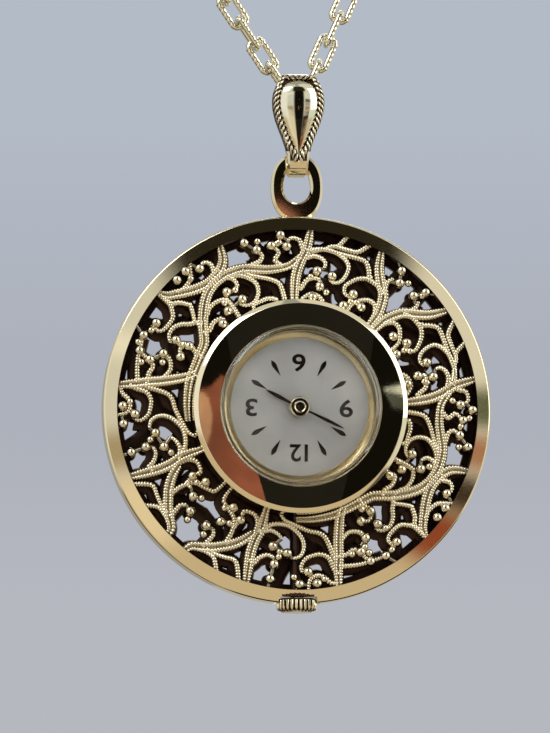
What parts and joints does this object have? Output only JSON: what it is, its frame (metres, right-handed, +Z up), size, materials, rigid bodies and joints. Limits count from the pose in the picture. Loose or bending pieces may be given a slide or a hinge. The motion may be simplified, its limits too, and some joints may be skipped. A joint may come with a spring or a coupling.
{
  "type": "pendant watch",
  "caption": "Round pendant watch with a pierced scrollwork case, raised round bezel and domed crystal, hung by a ring and folded bail from an oval-link chain.",
  "frame": {"origin": "middle of the flat back face of the case", "axes": "+Z up toward the chain, the dial faces -Y, +X to the right of someone who looks at the dial, +Y toward the wearer"},
  "size_m": [0.042, 0.0101, 0.0714],
  "materials": {
    "pale_gold": "polished",
    "antique_gold": "polished with dark recesses",
    "polished_gold": "mirror",
    "back_steel": "brushed",
    "clear_acrylic": "clear gloss",
    "dial_silver": "satin",
    "black_hands": "gloss",
    "plate_brass": "satin",
    "steel": "satin",
    "ruby": "gloss"
  },
  "bodies": {
    "chain_hold": {"chain_held": "pale_gold"},
    "chain": {"chain_left": "pale_gold", "chain_middle": "pale_gold", "chain_right": "pale_gold"},
    "bail": {"bail": "pale_gold"},
    "case": {"case_rim": "pale_gold", "filigree_front": "antique_gold", "filigree_back": "antique_gold", "drum": "polished_gold", "case_back": "back_steel", "crystal": "clear_acrylic", "tension_ring": "polished_gold", "dial": "dial_silver", "stem_tube": "polished_gold", "pendant_loop": "pale_gold", "main_plate": "plate_brass", "barrel_bridge": "plate_brass", "train_bridge": "plate_brass", "balance_cock": "plate_brass", "movement_screws": "steel", "jewels": "ruby"},
    "minutes": {"minute_hand": "black_hands", "cannon_pinion": "steel"},
    "centre": {"centre_wheel": "plate_brass"},
    "hours": {"hour_hand": "black_hands", "hour_wheel": "plate_brass"},
    "motion": {"minute_wheel": "plate_brass"},
    "barrel": {"barrel": "plate_brass", "mainspring": "steel"},
    "third": {"third_wheel": "plate_brass"},
    "fourth": {"fourth_wheel": "plate_brass"},
    "escape": {"escape_wheel": "steel"},
    "pallets": {"pallet_fork": "steel"},
    "balance": {"balance_wheel": "plate_brass", "hairspring": "steel"},
    "winder": {"winding_pinion": "steel"},
    "crown": {"crown": "polished_gold", "winding_stem": "steel"},
    "clutch": {"sliding_pinion": "steel"},
    "crown_wheel": {"crown_wheel": "steel"},
    "ratchet": {"ratchet_wheel": "steel", "barrel_arbor": "steel"},
    "click": {"click": "steel"},
    "setting_lever": {"setting_lever": "steel"},
    "yoke": {"yoke": "steel"}
  },
  "joints": [
    {"name": "chain_swing", "type": "hinge", "parent": "chain_hold", "child": "chain", "pos_m": [-0.00096, -0.004, 0.04549], "axis": [0.9971, 0, 0.0761], "range_deg": [-28, 28]},
    {"name": "bail_swing", "type": "hinge", "parent": "chain", "child": "bail", "pos_m": [0, -0.004, 0.0346], "axis": [1, 0, 0], "range_deg": [-6, 40]},
    {"name": "case_swing", "type": "hinge", "parent": "bail", "child": "case", "pos_m": [0, -0.004, 0.02765], "axis": [1, 0, 0], "range_deg": [-50, 50]},
    {"name": "minute_turn", "type": "hinge", "parent": "case", "child": "minutes", "pos_m": [0, -0.003, 0], "axis": [0, 1, 0], "continuous": true},
    {"name": "hour_turn", "type": "hinge", "parent": "case", "child": "hours", "pos_m": [0, -0.003, 0], "axis": [0, 1, 0], "continuous": true},
    {"name": "motion_turn", "type": "hinge", "parent": "case", "child": "motion", "pos_m": [0.0009, -0.003, 0.00156], "axis": [0, 1, 0], "continuous": true},
    {"name": "centre_turn", "type": "hinge", "parent": "case", "child": "centre", "pos_m": [0, -0.003, 0], "axis": [0, 1, 0], "continuous": true},
    {"name": "barrel_turn", "type": "hinge", "parent": "case", "child": "barrel", "pos_m": [-0.00376, -0.003, -0.00137], "axis": [0, 1, 0], "continuous": true},
    {"name": "third_turn", "type": "hinge", "parent": "case", "child": "third", "pos_m": [-0.0001, -0.003, 0.00292], "axis": [0, 1, 0], "continuous": true},
    {"name": "fourth_turn", "type": "hinge", "parent": "case", "child": "fourth", "pos_m": [0.00213, -0.003, 0.00253], "axis": [0, 1, 0], "continuous": true},
    {"name": "escape_turn", "type": "hinge", "parent": "case", "child": "escape", "pos_m": [0.00426, -0.003, 0.00234], "axis": [0, 1, 0], "continuous": true},
    {"name": "pallet_swing", "type": "hinge", "parent": "case", "child": "pallets", "pos_m": [0.00441, -0.003, 0.00035], "axis": [0, 1, 0], "range_deg": [-5, 5]},
    {"name": "balance_swing", "type": "hinge", "parent": "case", "child": "balance", "pos_m": [0.00461, -0.0025, -0.0024], "axis": [0, 1, 0], "range_deg": [-150, 150], "stiffness_Nm_per_rad": 0.000001},
    {"name": "crown_turn", "type": "hinge", "parent": "case", "child": "winder", "pos_m": [0, -0.004, -0.02], "axis": [0, 0, 1], "continuous": true},
    {"name": "crown_pull", "type": "slide", "parent": "winder", "child": "crown", "axis": [0, 0, -1], "range_m": [0, 0.0008]},
    {"name": "clutch_slide", "type": "slide", "parent": "winder", "child": "clutch", "axis": [0, 0, 1], "range_m": [0, 0.0004]},
    {"name": "crown_wheel_turn", "type": "hinge", "parent": "case", "child": "crown_wheel", "pos_m": [0, -0.003, -0.00435], "axis": [0, 1, 0], "continuous": true},
    {"name": "ratchet_turn", "type": "hinge", "parent": "case", "child": "ratchet", "pos_m": [-0.00376, -0.003, -0.00137], "axis": [0, 1, 0], "continuous": true},
    {"name": "click_tilt", "type": "hinge", "parent": "case", "child": "click", "pos_m": [-0.0044, -0.0012, 0.00229], "axis": [0, 1, 0], "range_deg": [0, 8]},
    {"name": "lever_tilt", "type": "hinge", "parent": "case", "child": "setting_lever", "pos_m": [0.0031, -0.0047, -0.0067], "axis": [0, 1, 0], "range_deg": [0, 10]},
    {"name": "yoke_tilt", "type": "hinge", "parent": "case", "child": "yoke", "pos_m": [0.0032, -0.0047, -0.0032], "axis": [0, 1, 0], "range_deg": [0, 6]}
  ],
  "couplings": [
    {"joint": "hour_turn", "follows": "minute_turn", "ratio": 0.083333},
    {"joint": "motion_turn", "follows": "minute_turn", "ratio": -0.33333},
    {"joint": "fourth_turn", "follows": "escape_turn", "ratio": -0.125},
    {"joint": "third_turn", "follows": "escape_turn", "ratio": 0.016667},
    {"joint": "centre_turn", "follows": "escape_turn", "ratio": -0.0020833},
    {"joint": "barrel_turn", "follows": "escape_turn", "ratio": 0.00029762},
    {"joint": "crown_wheel_turn", "follows": "crown_turn", "ratio": -0.66667},
    {"joint": "ratchet_turn", "follows": "crown_turn", "ratio": 0.4},
    {"joint": "clutch_slide", "follows": "crown_pull", "ratio": 0.5},
    {"joint": "lever_tilt", "follows": "crown_pull", "rad_per_m": 218.17},
    {"joint": "yoke_tilt", "follows": "crown_pull", "rad_per_m": 130.9}
  ]
}
